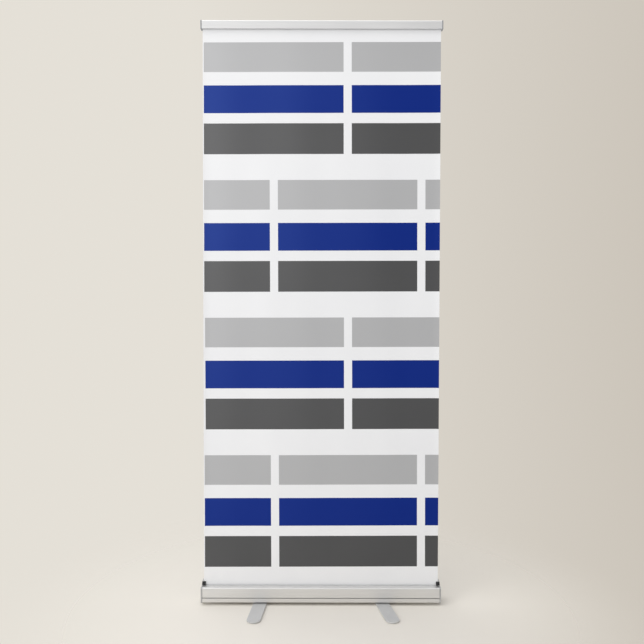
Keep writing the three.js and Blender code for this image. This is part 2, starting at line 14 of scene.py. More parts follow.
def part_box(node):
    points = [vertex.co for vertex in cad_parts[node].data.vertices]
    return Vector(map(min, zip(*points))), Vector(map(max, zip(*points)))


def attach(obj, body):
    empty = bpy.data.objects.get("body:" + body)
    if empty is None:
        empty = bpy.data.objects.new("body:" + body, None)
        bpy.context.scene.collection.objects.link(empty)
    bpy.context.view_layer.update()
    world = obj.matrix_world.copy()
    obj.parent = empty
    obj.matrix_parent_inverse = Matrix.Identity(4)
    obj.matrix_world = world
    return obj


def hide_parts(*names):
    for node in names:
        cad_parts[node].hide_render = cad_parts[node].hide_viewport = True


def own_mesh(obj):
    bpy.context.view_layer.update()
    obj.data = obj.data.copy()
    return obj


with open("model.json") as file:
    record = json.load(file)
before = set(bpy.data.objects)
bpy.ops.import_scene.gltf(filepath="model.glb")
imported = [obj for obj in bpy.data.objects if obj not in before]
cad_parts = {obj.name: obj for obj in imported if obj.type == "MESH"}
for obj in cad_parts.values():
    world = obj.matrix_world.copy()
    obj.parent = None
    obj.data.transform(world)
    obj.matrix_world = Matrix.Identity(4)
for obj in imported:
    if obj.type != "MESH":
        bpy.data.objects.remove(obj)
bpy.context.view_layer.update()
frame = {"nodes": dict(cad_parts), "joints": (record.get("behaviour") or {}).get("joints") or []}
bpy.ops.object.select_all(action="DESELECT")

MM = 0.001
CLEARANCE = 0.3 * MM  # between pieces that only lie beside each other
FACING = {"left": -1, "right": 1}  # the way each side looks along X
SIDES = tuple(FACING)
JOINTS = {joint["name"]: joint for joint in frame["joints"]}

# ---------------------------------------------------------------- camera


def add_camera():
    """A view square on to the front, a little above the middle of the film."""
    film_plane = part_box("banner_graphic")[0].y
    from_film = 2.6
    eye_height = 1.09
    off_centre = 2.2 * MM
    looks_down = 1.51  # degrees
    rolled = -0.1  # degrees
    data = bpy.data.cameras.new("camera")
    data.sensor_width = 36
    data.lens = 40.35
    camera = bpy.data.objects.new("camera", data)
    camera.location = (off_centre, film_plane - from_film, eye_height)
    camera.rotation_euler = (math.radians(90 - looks_down), math.radians(rolled), 0)
    bpy.context.scene.collection.objects.link(camera)
    bpy.context.scene.camera = camera


add_camera()

# ---------------------------------------------------------------- working by hand


class editing:
    """Opens one piece in edit mode with everything on it selected, and closes it again."""

    def __init__(self, piece):
        self.piece = piece

    def __enter__(self):
        hold(self.piece)
        bpy.ops.object.mode_set(mode="EDIT")
        bpy.ops.mesh.select_mode(type="VERT")
        bpy.ops.mesh.select_all(action="SELECT")
        return self.piece

    def __exit__(self, *problem):
        bpy.ops.object.mode_set(mode="OBJECT")


def hold(piece):
    """Selects this piece alone and makes it the active one."""
    bpy.ops.object.select_all(action="DESELECT")
    piece.select_set(True)
    bpy.context.view_layer.objects.active = piece


def select(piece, kind, test):
    """In edit mode, selects the faces, edges or vertices that pass the test."""
    bpy.ops.mesh.select_mode(type=kind)
    bpy.ops.mesh.select_all(action="DESELECT")
    mesh = bmesh.from_edit_mesh(piece.data)
    for part in {"FACE": mesh.faces, "EDGE": mesh.edges, "VERT": mesh.verts}[kind]:
        if test(part):
            part.select_set(True)
    mesh.select_flush_mode()
    bmesh.update_edit_mesh(piece.data)


def smooth(piece, degrees=32):
    """Smooths the piece up to an angle. Its large flat faces stay flat beside their small rounded edges."""
    hold(piece)
    bpy.ops.object.shade_smooth_by_angle(angle=math.radians(degrees))
    return apply_modifier(piece, "WEIGHTED_NORMAL", keep_sharp=True, weight=90)


def round_edges(piece, radius, segments=2, sharpness=30):
    """Bevels every sharp edge of the piece."""
    with editing(piece):
        bpy.ops.mesh.select_mode(type="EDGE")
        bpy.ops.mesh.select_all(action="DESELECT")
        bpy.ops.mesh.edges_select_sharp(sharpness=math.radians(sharpness))
        bpy.ops.mesh.bevel(offset=radius, segments=segments, affect="EDGES", clamp_overlap=True)
    return smooth(piece)


def apply_modifier(piece, kind, **values):
    """Adds a modifier, sets it and applies it."""
    hold(piece)
    modifier = piece.modifiers.new(kind.lower(), kind)
    for name, value in values.items():
        setattr(modifier, name, value)
    bpy.ops.object.modifier_apply(modifier=modifier.name)
    return piece


def cut_away(piece, tool):
    """Cuts the tool's shape out of the piece and throws the tool away."""
    apply_modifier(piece, "BOOLEAN", operation="DIFFERENCE", object=tool, solver="EXACT")
    bpy.data.objects.remove(tool)
    return piece


def place(piece, matrix):
    """Moves a piece to its place and leaves its object at the origin."""
    piece.matrix_world = matrix
    hold(piece)
    bpy.ops.object.transform_apply(location=True, rotation=True, scale=True)
    return piece


def copy_of(piece, name):
    """Another copy of a modelled piece, with a mesh of its own."""
    made = bpy.data.objects.new(name, piece.data.copy())
    bpy.context.scene.collection.objects.link(made)
    return made


def from_node(node, name):
    """A copy of a CAD node with its loose triangles merged into clean faces."""
    piece = copy_of(frame["nodes"][node], name)
    with editing(piece):
        bpy.ops.mesh.remove_doubles(threshold=0.002 * MM)
        bpy.ops.mesh.dissolve_limited(angle_limit=math.radians(0.5))
    return piece


def close_ends(bridged=False):
    """In edit mode, fills the open rings of a piece, or bridges its two rings to each other."""
    bpy.ops.mesh.select_mode(type="EDGE")
    bpy.ops.mesh.select_all(action="DESELECT")
    bpy.ops.mesh.select_non_manifold()
    if bridged:
        bpy.ops.mesh.bridge_edge_loops()
    else:
        bpy.ops.mesh.fill_holes(sides=0)
    bpy.ops.mesh.select_all(action="SELECT")
    bpy.ops.mesh.normals_make_consistent(inside=False)


def turned(name, profile, sides=48, edge=0.3 * MM, hollow=False):
    """A piece turned about Z: a circle is drawn out and scaled from point to point of its profile.

    The profile is [(radius, z), ...] up the outside. A hollow one goes on down the inside.
    """
    radius, z = profile[0]
    ring = {"vertices": sides, "radius": radius, "fill_type": "NOTHING", "location": (0, 0, z)}
    bpy.ops.mesh.primitive_circle_add(**ring)
    piece = bpy.context.object
    piece.name = name
    hold(piece)
    bpy.ops.object.transform_apply(location=True)
    with editing(piece):
        for (r0, z0), (r1, z1) in zip(profile, profile[1:]):
            bpy.ops.mesh.extrude_region_move(TRANSFORM_OT_translate={"value": (0, 0, z1 - z0)})
            if r1 != r0:
                bpy.ops.transform.resize(value=(r1 / r0, r1 / r0, 1), center_override=(0, 0, z1))
        close_ends(bridged=hollow)
    return round_edges(piece, edge) if edge else piece


def finish(piece, body, slot, material, *nodes):
    """Gives a piece its material and the body it moves with, and hides the CAD nodes that it stands for."""
    if material is not None:
        piece.data.materials.clear()
        piece.data.materials.append(material)
    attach(piece, body)
    if nodes:
        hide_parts(*nodes)
    return piece


def centre(node):
    low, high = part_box(node)
    return (low + high) / 2


def along_x(point, facing=1):
    """The place of a piece turned about Z that lies along X instead, with its z = 0 at the point."""
    return Matrix.Translation(point) @ Matrix.Rotation(facing * math.radians(90), 4, "Y")


# ---------------------------------------------------------------- shader building


def group(name, inputs, outputs):
    """A new shader node group with named sockets: {name: (type, default)}."""
    tree = bpy.data.node_groups.new(name, "ShaderNodeTree")
    for label, (kind, default) in inputs.items():
        socket = tree.interface.new_socket(name=label, in_out="INPUT", socket_type="NodeSocket" + kind)
        if default is not None:
            socket.default_value = default
    for label, kind in outputs.items():
        tree.interface.new_socket(name=label, in_out="OUTPUT", socket_type="NodeSocket" + kind)
    return tree, tree.nodes.new("NodeGroupInput"), tree.nodes.new("NodeGroupOutput")


def node(tree, kind, settings=None, **sockets):
    """Adds a shader node. A socket is given a value, or another node's output to link from."""
    made = tree.nodes.new("ShaderNode" + kind)
    for name, value in (settings or {}).items():
        setattr(made, name, value)
    for name, value in sockets.items():
        wire(tree, made, name.replace("_", " "), value)
    return made


def wire(tree, to, name, value):
    """Sets a socket by its name, or by its number as n0, n1 and so on."""
    numbered = name[0] == "n" and name[1:].isdigit()
    socket = to.inputs[int(name[1:])] if numbered else to.inputs[name]
    if isinstance(value, bpy.types.NodeSocket):
        tree.links.new(value, socket)
    else:
        socket.default_value = value


def maths(tree, operation, first, second=0.0, third=0.0, clamp=False):
    settings = {"operation": operation, "use_clamp": clamp}
    return node(tree, "Math", settings, n0=first, n1=second, n2=third).outputs[0]


def remap(tree, value, from_low, from_high, to_low, to_high):
    span_of = {"n1": from_low, "n2": from_high, "n3": to_low, "n4": to_high}
    return node(tree, "MapRange", {"clamp": True}, n0=value, **span_of).outputs[0]


def mix_colours(tree, share, first, second):
    """Mixes two colours, which go into the node's sockets 6 and 7, counted from 0."""
    made = node(tree, "Mix", {"data_type": "RGBA"}, n0=share, n6=first, n7=second)
    return made.outputs[2]


def opaque(colour, share=1.0):
    """A colour, or a share of it, with full alpha."""
    return tuple(part * share for part in colour) + (1,)


def build_drawn_lines():
    """Fine lines that run along X, as extruding, drawing or brushing leaves them."""
    tree, inside, out = group(
        "drawn_lines",
        {"Vector": ("Vector", None), "Pitch": ("Float", 900.0), "Length": ("Float", 0.015)},
        {"Value": "Float"},
    )
    stretch = node(tree, "CombineXYZ", None, X=inside.outputs["Length"], Y=1.0, Z=1.0).outputs[0]
    times = {"operation": "MULTIPLY"}
    along = node(tree, "VectorMath", times, n0=inside.outputs["Vector"], n1=stretch).outputs[0]
    noise = node(tree, "TexNoise", None, Vector=along, Scale=inside.outputs["Pitch"], Detail=3.0)
    tree.links.new(noise.outputs[0], out.inputs["Value"])
    return tree


def build_moulded_grain():
    """The fine pebbled grain of a moulded or powder-coated skin."""
    tree, inside, out = group(
        "moulded_grain",
        {"Vector": ("Vector", None), "Scale": ("Float", 1500.0), "Softness": ("Float", 0.5)},
        {"Value": "Float"},
    )
    cells = node(tree, "TexVoronoi", {"feature": "SMOOTH_F1"}, Vector=inside.outputs["Vector"])
    wire(tree, cells, "Scale", inside.outputs["Scale"])
    wire(tree, cells, "Smoothness", inside.outputs["Softness"])
    noise = node(tree, "TexNoise", None, Vector=inside.outputs["Vector"], Detail=2.0)
    wire(tree, noise, "Scale", maths(tree, "MULTIPLY", inside.outputs["Scale"], 0.4))
    value = maths(tree, "MULTIPLY_ADD", noise.outputs[0], 0.4, cells.outputs["Distance"])
    tree.links.new(value, out.inputs["Value"])
    return tree


def build_edge_wear():
    """A mask that is 1 on rubbed edges, broken up by noise."""
    tree, inside, out = group(
        "edge_wear",
        {"Vector": ("Vector", None), "Radius": ("Float", 0.0012), "Amount": ("Float", 0.6)},
        {"Mask": "Float"},
    )
    soft = node(tree, "Bevel", {"samples": 4}, Radius=inside.outputs["Radius"])
    plain = node(tree, "NewGeometry")
    dotted = {"operation": "DOT_PRODUCT"}
    dot = node(tree, "VectorMath", dotted, n0=soft.outputs[0], n1=plain.outputs["Normal"])
    edge = remap(tree, dot.outputs["Value"], 0.995, 0.86, 0.0, 1.0)
    noise = node(tree, "TexNoise", None, Vector=inside.outputs["Vector"], Scale=160.0, Detail=4.0)
    broken = remap(tree, noise.outputs[0], 0.42, 0.62, 0.0, 1.0)
    worn = maths(tree, "MULTIPLY", edge, broken)
    tree.links.new(maths(tree, "MULTIPLY", worn, inside.outputs["Amount"]), out.inputs["Mask"])
    return tree


def build_handling():
    """Broad soft blotches, where hands and cloths have left a surface a little duller."""
    tree, inside, out = group(
        "handling",
        {"Vector": ("Vector", None), "Scale": ("Float", 14.0)},
        {"Value": "Float"},
    )
    noise = node(tree, "TexNoise", None, Vector=inside.outputs["Vector"], Detail=4.0, Roughness=0.6)
    wire(tree, noise, "Scale", inside.outputs["Scale"])
    tree.links.new(remap(tree, noise.outputs[0], 0.3, 0.7, 0.0, 1.0), out.inputs["Value"])
    return tree


def build_settled_dust():
    """A mask that is 1 where dust settles: on faces that look up, in patches."""
    tree, inside, out = group(
        "settled_dust",
        {"Vector": ("Vector", None), "Amount": ("Float", 0.2)},
        {"Mask": "Float"},
    )
    facing = node(tree, "SeparateXYZ", None, Vector=node(tree, "NewGeometry").outputs["Normal"])
    up = remap(tree, facing.outputs["Z"], 0.5, 1.0, 0.0, 1.0)
    noise = node(tree, "TexNoise", None, Vector=inside.outputs["Vector"], Scale=60.0, Detail=6.0)
    patches = remap(tree, noise.outputs[0], 0.35, 0.75, 0.2, 1.0)
    mask = maths(tree, "MULTIPLY", maths(tree, "MULTIPLY", up, patches), inside.outputs["Amount"])
    tree.links.new(mask, out.inputs["Mask"])
    return tree


DRAWN_LINES = build_drawn_lines()
MOULDED_GRAIN = build_moulded_grain()
EDGE_WEAR = build_edge_wear()
HANDLING = build_handling()
SETTLED_DUST = build_settled_dust()


def placed(tree, made_group, output, vector, **values):
    """Places a node group in a material with its own values, and returns one output."""
    made = tree.nodes.new("ShaderNodeGroup")
    made.node_tree = made_group
    wire(tree, made, "Vector", vector)
    for name, value in values.items():
        wire(tree, made, name, value)
    return made.outputs[output]


def new_material(name, metallic=0.0, specular=0.5):
    """A material with its own Principled shader, and the piece's object coordinates."""
    material = bpy.data.materials.new(name)
    material.use_nodes = True
    tree = material.node_tree
    shader = tree.nodes["Principled BSDF"]
    shader.inputs["Metallic"].default_value = metallic
    shader.inputs["Specular IOR Level"].default_value = specular
    place_on_piece = node(tree, "TexCoord").outputs["Object"]
    return material, tree, shader, place_on_piece


def bump(tree, shader, height, strength, distance):
    made = node(tree, "Bump", None, Strength=strength, Distance=distance, Height=height)
    tree.links.new(made.outputs[0], shader.inputs["Normal"])


# ---------------------------------------------------------------- materials


def anodised_aluminium(name, along="X"):
    """Satin anodised aluminium with the die lines of its extrusion."""
    material, tree, shader, place_on = new_material(name, metallic=1.0)
    turn = {"X": (0, 0, 0), "Z": (0, math.radians(90), 0)}[along]
    line_up = node(tree, "Mapping", None, Vector=place_on, Rotation=turn).outputs[0]
    lines = placed(tree, DRAWN_LINES, "Value", line_up, Pitch=1400.0, Length=0.006)
    broad = placed(tree, DRAWN_LINES, "Value", line_up, Pitch=260.0, Length=0.01)
    dull = placed(tree, HANDLING, "Value", place_on, Scale=9.0)
    worn = placed(tree, EDGE_WEAR, "Mask", place_on, Radius=0.9 * MM, Amount=0.7)
    shade = maths(tree, "MULTIPLY_ADD", lines, 0.5, maths(tree, "MULTIPLY", broad, 0.5))
    base = mix_colours(tree, shade, (0.7, 0.697, 0.688, 1), (0.86, 0.856, 0.845, 1))
    colour = mix_colours(tree, worn, base, (0.93, 0.93, 0.92, 1))
    rough = maths(tree, "MULTIPLY_ADD", dull, 0.08, maths(tree, "MULTIPLY_ADD", lines, 0.16, 0.32))
    tree.links.new(colour, shader.inputs["Base Color"])
    tree.links.new(rough, shader.inputs["Roughness"])
    bump(tree, shader, lines, 0.12, 0.05 * MM)
    return material


def moulded_plastic(name, colour, rough, scale=1700.0, relief=0.06, wear=0.35, metallic=0.0):
    """Moulded plastic with a fine grain, paler where its edges are rubbed, and a little dust on top."""
    material, tree, shader, place_on = new_material(name, metallic=metallic)
    grain = placed(tree, MOULDED_GRAIN, "Value", place_on, Scale=scale)
    dull = placed(tree, HANDLING, "Value", place_on, Scale=35.0)
    worn = placed(tree, EDGE_WEAR, "Mask", place_on, Radius=1.0 * MM, Amount=wear)
    dust = placed(tree, SETTLED_DUST, "Mask", place_on, Amount=0.12)
    rubbed_grey = 0.55
    paler = opaque(part + (rubbed_grey - part) * 0.35 for part in colour)
    base = mix_colours(tree, dull, opaque(colour, 0.86), opaque(colour))
    rubbed = mix_colours(tree, worn, base, paler)
    tree.links.new(mix_colours(tree, dust, rubbed, (0.6, 0.58, 0.55, 1)), shader.inputs["Base Color"])
    roughness = maths(tree, "MULTIPLY_ADD", dull, 0.1, rough)
    tree.links.new(maths(tree, "MULTIPLY_ADD", grain, 0.06, roughness), shader.inputs["Roughness"])
    bump(tree, shader, grain, relief * 4, relief * MM)
    return material


def powder_coat(name):
    """Satin silver-grey powder coat on steel: an orange-peel skin, rubbed through along the edges."""
    material, tree, shader, place_on = new_material(name, metallic=0.35)
    peel = placed(tree, MOULDED_GRAIN, "Value", place_on, Scale=520.0, Softness=1.0)
    fine = placed(tree, MOULDED_GRAIN, "Value", place_on, Scale=2600.0)
    dull = placed(tree, HANDLING, "Value", place_on, Scale=18.0)
    worn = placed(tree, EDGE_WEAR, "Mask", place_on, Radius=1.2 * MM, Amount=0.5)
    dust = placed(tree, SETTLED_DUST, "Mask", place_on, Amount=0.16)
    base = mix_colours(tree, dull, (0.6, 0.605, 0.605, 1), (0.67, 0.67, 0.665, 1))
    rubbed = mix_colours(tree, worn, base, (0.7, 0.7, 0.69, 1))
    tree.links.new(mix_colours(tree, dust, rubbed, (0.62, 0.6, 0.57, 1)), shader.inputs["Base Color"])
    rough = maths(tree, "MULTIPLY_ADD", dull, 0.1, 0.4)
    tree.links.new(rough, shader.inputs["Roughness"])
    height = maths(tree, "MULTIPLY_ADD", fine, 0.15, peel)
    bump(tree, shader, height, 0.16, 0.12 * MM)
    return material


def plated_steel(name, colour, rough):
    """Bright plated or oiled steel with fine marks from its making."""
    material, tree, shader, place_on = new_material(name, metallic=1.0)
    marks = placed(tree, DRAWN_LINES, "Value", place_on, Pitch=1800.0, Length=0.3)
    dull = placed(tree, HANDLING, "Value", place_on, Scale=90.0)
    base = mix_colours(tree, dull, opaque(colour, 0.8), opaque(colour))
    tree.links.new(base, shader.inputs["Base Color"])
    tree.links.new(maths(tree, "MULTIPLY_ADD", marks, 0.15, rough), shader.inputs["Roughness"])
    bump(tree, shader, marks, 0.15, 0.03 * MM)
    return material


def printed_film(name, low, high):
    """The front of the film: three rows of bars in light grey, blue and dark grey, repeated down it."""
    period = (529.5 * MM, 486.8 * MM)  # of the bars, across and down
    first_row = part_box("rail_back")[0].z - 44 * MM
    growth = 0.0091  # each set is printed a touch taller than the one above it
    skew = 0.004  # and the whole print sits slightly out of square on the film
    margin = 3.5 * MM
    gap_width = 29 * MM
    gap_starts = (502.4 * MM, 237 * MM)  # from the left edge, in odd and in even sets
    rows = ((0, 104.8 * MM), (151.8 * MM, 250.2 * MM), (286.4 * MM, 395.3 * MM))
    sets = 4.0

    material, tree, shader, place_on = new_material(name, specular=0.1)
    parts = node(tree, "SeparateXYZ", None, Vector=place_on)
    from_left = maths(tree, "SUBTRACT", parts.outputs["X"], low.x)
    from_top = maths(tree, "SUBTRACT", first_row, parts.outputs["Z"])
    across = maths(tree, "MULTIPLY_ADD", from_top, -skew, from_left)
    from_middle = maths(tree, "SUBTRACT", from_left, (high.x - low.x) / 2)
    level = maths(tree, "MULTIPLY_ADD", from_middle, skew, from_top)
    down = maths(tree, "MULTIPLY", level, maths(tree, "MULTIPLY_ADD", level, -growth, 1.0))
    number = maths(tree, "FLOOR", maths(tree, "DIVIDE", down, period[1]))
    within = maths(tree, "SUBTRACT", down, maths(tree, "MULTIPLY", number, period[1]))
    even = maths(tree, "FLOORED_MODULO", number, 2.0)
    start = remap(tree, even, 0.0, 1.0, *gap_starts)
    from_gap = maths(tree, "FLOORED_MODULO", maths(tree, "SUBTRACT", across, start), period[0])
    bar = maths(tree, "GREATER_THAN", from_gap, gap_width)
    inked = maths(tree, "MULTIPLY", bar, maths(tree, "GREATER_THAN", from_left, margin))
    started = maths(tree, "MULTIPLY", inked, maths(tree, "GREATER_THAN", down, 0.0))
    printed = maths(tree, "MULTIPLY", started, maths(tree, "LESS_THAN", number, sets))

    # Painted sheen: each ink is mixed toward a paler colour towards the top left and in soft upright bands,
    # standing in for the light's sheen on the laminate. The slow clouds and fine passes are the ink lying a
    # little unevenly.
    clouds = placed(tree, HANDLING, "Value", place_on, Scale=3.0)
    passes = placed(tree, DRAWN_LINES, "Value", place_on, Pitch=420.0, Length=0.004)
    # Painted sheen: paler towards the left and the top, and in soft upright bands across the film.
    sheen_to_left = remap(tree, from_left, 0.0, 0.72, 1.0, 0.0)
    sheen_to_top = remap(tree, from_top, 0.55, 1.75, 1.0, 0.25)
    sheen_band_pitch = 0.26
    from_sheen_crest = maths(tree, "ADD", from_left, -0.03)
    sheen_wave = maths(tree, "COSINE", maths(tree, "MULTIPLY", from_sheen_crest, 2 * math.pi / sheen_band_pitch))
    sheen_bands = maths(tree, "MULTIPLY_ADD", sheen_wave, 0.14, 0.86)
    painted_sheen = maths(tree, "MULTIPLY", maths(tree, "MULTIPLY", sheen_to_left, sheen_to_top), sheen_bands)
    clouded = maths(tree, "MULTIPLY_ADD", clouds, 0.06, maths(tree, "MULTIPLY_ADD", passes, 0.06, -0.05))
    # How far each ink goes to its paler colour: the painted sheen, plus the ink's own uneven clouds and
    # passes.
    sheen_and_thin_ink = maths(tree, "ADD", painted_sheen, clouded, clamp=True)
    # Each ink: its full colour, then a paler colour that carries both the painted sheen and thinner ink.
    inks = (
        ((0.445, 0.445, 0.446, 1), (0.52, 0.52, 0.522, 1)),
        ((0.003, 0.0215, 0.21, 1), (0.024, 0.056, 0.29, 1)),
        ((0.083, 0.083, 0.0835, 1), (0.15, 0.15, 0.151, 1)),
    )
    paper = mix_colours(tree, clouds, (0.86, 0.86, 0.865, 1), (0.885, 0.885, 0.885, 1))
    colour = paper
    cover = 0.0
    for (top, bottom), (full, thin_and_sheen) in zip(rows, inks):
        below = maths(tree, "GREATER_THAN", within, top)
        mask = maths(tree, "MULTIPLY", below, maths(tree, "LESS_THAN", within, bottom))
        mask = maths(tree, "MULTIPLY", mask, printed)
        colour = mix_colours(tree, mask, colour, mix_colours(tree, sheen_and_thin_ink, full, thin_and_sheen))
        cover = maths(tree, "ADD", mask, cover)
    tree.links.new(colour, shader.inputs["Base Color"])

    # A satin laminate, a touch glossier over the ink.
    skin = placed(tree, MOULDED_GRAIN, "Value", place_on, Scale=900.0, Softness=1.0)
    satin = maths(tree, "MULTIPLY_ADD", cover, -0.03, maths(tree, "MULTIPLY_ADD", clouds, 0.05, 0.34))
    tree.links.new(maths(tree, "MULTIPLY_ADD", skin, 0.05, satin), shader.inputs["Roughness"])
    bump(tree, shader, skin, 0.05, 0.05 * MM)
    return material


def plain_film(name, colour, rough):
    """The film's unprinted side: a matt opaque coat with a faint woven-looking skin."""
    material, tree, shader, place_on = new_material(name, specular=0.4)
    skin = placed(tree, MOULDED_GRAIN, "Value", place_on, Scale=700.0)
    clouds = placed(tree, HANDLING, "Value", place_on, Scale=4.0)
    base = mix_colours(tree, clouds, opaque(colour, 0.95), opaque(colour))
    tree.links.new(base, shader.inputs["Base Color"])
    tree.links.new(maths(tree, "MULTIPLY_ADD", skin, 0.08, rough), shader.inputs["Roughness"])
    bump(tree, shader, skin, 0.08, 0.06 * MM)
    return material


ALUMINIUM = anodised_aluminium("anodised_aluminium")
POLE_ALUMINIUM = anodised_aluminium("anodised_pole_tube", along="Z")
CAP_PLASTIC = moulded_plastic("silver_cap_plastic", (0.5, 0.498, 0.49), 0.42, wear=0.2, metallic=0.3)
RAIL_CAP_PLASTIC = moulded_plastic("grey_rail_cap_plastic", (0.34, 0.343, 0.35), 0.45)
BLACK_PLASTIC = moulded_plastic("black_moulded_plastic", (0.017, 0.017, 0.019), 0.4)
GREY_PLASTIC = moulded_plastic("grey_nylon", (0.22, 0.22, 0.23), 0.5)
RUBBER = moulded_plastic(
    "black_rubber", (0.022, 0.022, 0.022), 0.72, scale=1100.0, relief=0.1, wear=0.15
)
FOOT_COAT = powder_coat("silver_powder_coat")
ZINC_STEEL = plated_steel("zinc_plated_steel", (0.62, 0.63, 0.65), 0.24)
SPRING_STEEL = plated_steel("oiled_spring_steel", (0.3, 0.31, 0.33), 0.3)
FILM_PRINT = printed_film("printed_film_front", *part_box("banner_graphic"))
FILM_BACK = plain_film("film_back", (0.62, 0.62, 0.625), 0.55)

# ---------------------------------------------------------------- film

FILM_THICKNESS = 0.25 * MM


def film_strip(name, bottom, top, columns, rows):
    """A flat strip of the film, as wide as the whole sheet, between two heights in the film's plane."""
    low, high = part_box("banner_graphic")
    bpy.ops.mesh.primitive_grid_add(x_subdivisions=columns, y_subdivisions=rows, size=1)
    strip = bpy.context.object
    strip.name = name
    upright = Matrix.Rotation(math.radians(90), 4, "X")
    sized = Matrix.Diagonal((high.x - low.x, top - bottom, 1, 1))
    middle = (0, (low.y + high.y) / 2, (bottom + top) / 2)
    place(strip, Matrix.Translation(middle) @ upright @ sized)
    return strip


def give_film_its_faces(strip):
    """Gives a strip the film's thickness, with the print in front and the plain backing behind."""
    apply_modifier(strip, "SOLIDIFY", thickness=FILM_THICKNESS, offset=0)
    strip.data.materials.append(FILM_PRINT)
    strip.data.materials.append(FILM_BACK)
    for face in strip.data.polygons:
        face.material_index = 1 if face.normal.y > 0.5 else 0
    smooth(strip, 40)


def banner_film():
    """One tensioned sheet, from the roller up through the slot to the rail, and its top edge in the rail.

    It is held flat at both ends. Between them it stands in soft upright flutes, and its long edges curl.
    The top edge travels with the rail, and the rest stays with the cassette.
    """
    low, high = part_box("banner_graphic")
    width = high.x - low.x
    rail_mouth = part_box("rail_back")[0].z + 1 * MM
    held_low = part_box("slot_guide_left")[1].z + 20 * MM
    held_high = rail_mouth - 6 * MM
    flute = 1.1 * MM
    curl = 1.6 * MM
    curl_width = 26 * MM

    film = film_strip("banner_film", low.z, rail_mouth, columns=110, rows=130)
    for vertex in film.data.vertices:
        x, _, z = vertex.co
        share = min(max((z - held_low) / (held_high - held_low), 0), 1)
        free = math.sin(math.pi * share) ** 0.6 if 0 < share < 1 else 0
        upright = math.sin(2 * math.pi * (x + 0.045 * share) / 0.31 + 0.9)
        broad = math.sin(2 * math.pi * x / 0.74 - 1.1 + 0.5 * share)
        ripple = 0.25 * math.sin(2 * math.pi * x / 0.137 + 2.2 * share)
        from_edge = max(0, 1 - (width / 2 - abs(x)) / curl_width)
        vertex.co.y += free * (flute * (0.55 * upright + 0.8 * broad + ripple) - curl * from_edge**2)
    give_film_its_faces(film)
    finish(film, "cassette", "film", None, "banner_graphic")

    held_edge = film_strip("film_held_edge", rail_mouth, high.z, columns=40, rows=6)
    give_film_its_faces(held_edge)
    finish(held_edge, "rail", "film", None)

    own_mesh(film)


def leader_coil():
    """The turns of film that stay wound on the roller."""
    low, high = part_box("banner_leader_coil")
    middle = (low + high) / 2
    outer = (high.z - low.z) / 2
    turns = 4
    steps_per_turn = 40
    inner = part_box("roller_tube")[1].z - middle.z + FILM_THICKNESS
    steps = steps_per_turn * turns
    bpy.ops.mesh.primitive_grid_add(x_subdivisions=1, y_subdivisions=steps, size=1)
    coil = bpy.context.object
    coil.name = "leader_turns"
    for vertex in coil.data.vertices:
        along = vertex.co.y + 0.5
        angle = 2 * math.pi * turns * along
        radius = inner + (outer - FILM_THICKNESS / 2 - inner) * along
        side = low.x if vertex.co.x < 0 else high.x
        vertex.co = (side, middle.y + radius * math.cos(angle), middle.z + radius * math.sin(angle))
    apply_modifier(coil, "SOLIDIFY", thickness=FILM_THICKNESS, offset=0)
    smooth(coil, 40)
    finish(coil, "roller", "film", FILM_BACK, "banner_leader_coil")


# ---------------------------------------------------------------- cassette


def sunk_panel(piece, outward, depth, border):
    """Sinks a shallow moulded panel into the flat face that looks outward."""
    reach = max(outward * vertex.co.x for vertex in piece.data.vertices)
    slope = 0.5 * MM

    def is_outmost(face):
        looks_out = face.normal.x * outward > 0.99
        return looks_out and outward * face.calc_center_median().x > reach - 0.1 * MM

    with editing(piece):
        select(piece, "FACE", is_outmost)
        bpy.ops.mesh.inset(thickness=border, depth=0)
        bpy.ops.mesh.inset(thickness=slope, depth=-depth)


def cassette_shells():
    base = round_edges(from_node("cassette_base", "cassette_base_extrusion"), 0.4 * MM)
    finish(base, "cassette", "aluminium", ALUMINIUM, "cassette_base")
    cover = round_edges(from_node("cassette_front_cover", "cassette_cover_extrusion"), 0.45 * MM)
    finish(cover, "cassette", "aluminium", ALUMINIUM, "cassette_front_cover")


def cap_blank(node_name, name, outward, thickness, seats):
    """The outline of a CAD cap's outer face, closed over its screw holes and drawn out into a plate."""
    plate = from_node(node_name, name)
    reach = max(outward * vertex.co.x for vertex in plate.data.vertices)
    seat_radius = 5 * MM

    def off_the_face(face):
        return any(outward * vertex.co.x <= reach - 0.02 * MM for vertex in face.verts)

    def in_seat(vertex):
        return any((vertex.co.yz - seat.yz).length < seat_radius for seat in seats)

    with editing(plate):
        select(plate, "FACE", off_the_face)
        bpy.ops.mesh.delete(type="FACE")
        select(plate, "EDGE", lambda edge: not edge.is_boundary)
        bpy.ops.mesh.delete(type="EDGE")
        select(plate, "VERT", in_seat)
        bpy.ops.mesh.delete(type="VERT")
        bpy.ops.mesh.select_all(action="SELECT")
        bpy.ops.mesh.edge_face_add()
        inward = (-outward * thickness, 0, 0)
        bpy.ops.mesh.extrude_region_move(TRANSFORM_OT_translate={"value": inward})
        bpy.ops.mesh.select_all(action="SELECT")
        bpy.ops.mesh.normals_make_consistent(inside=False)
    return plate


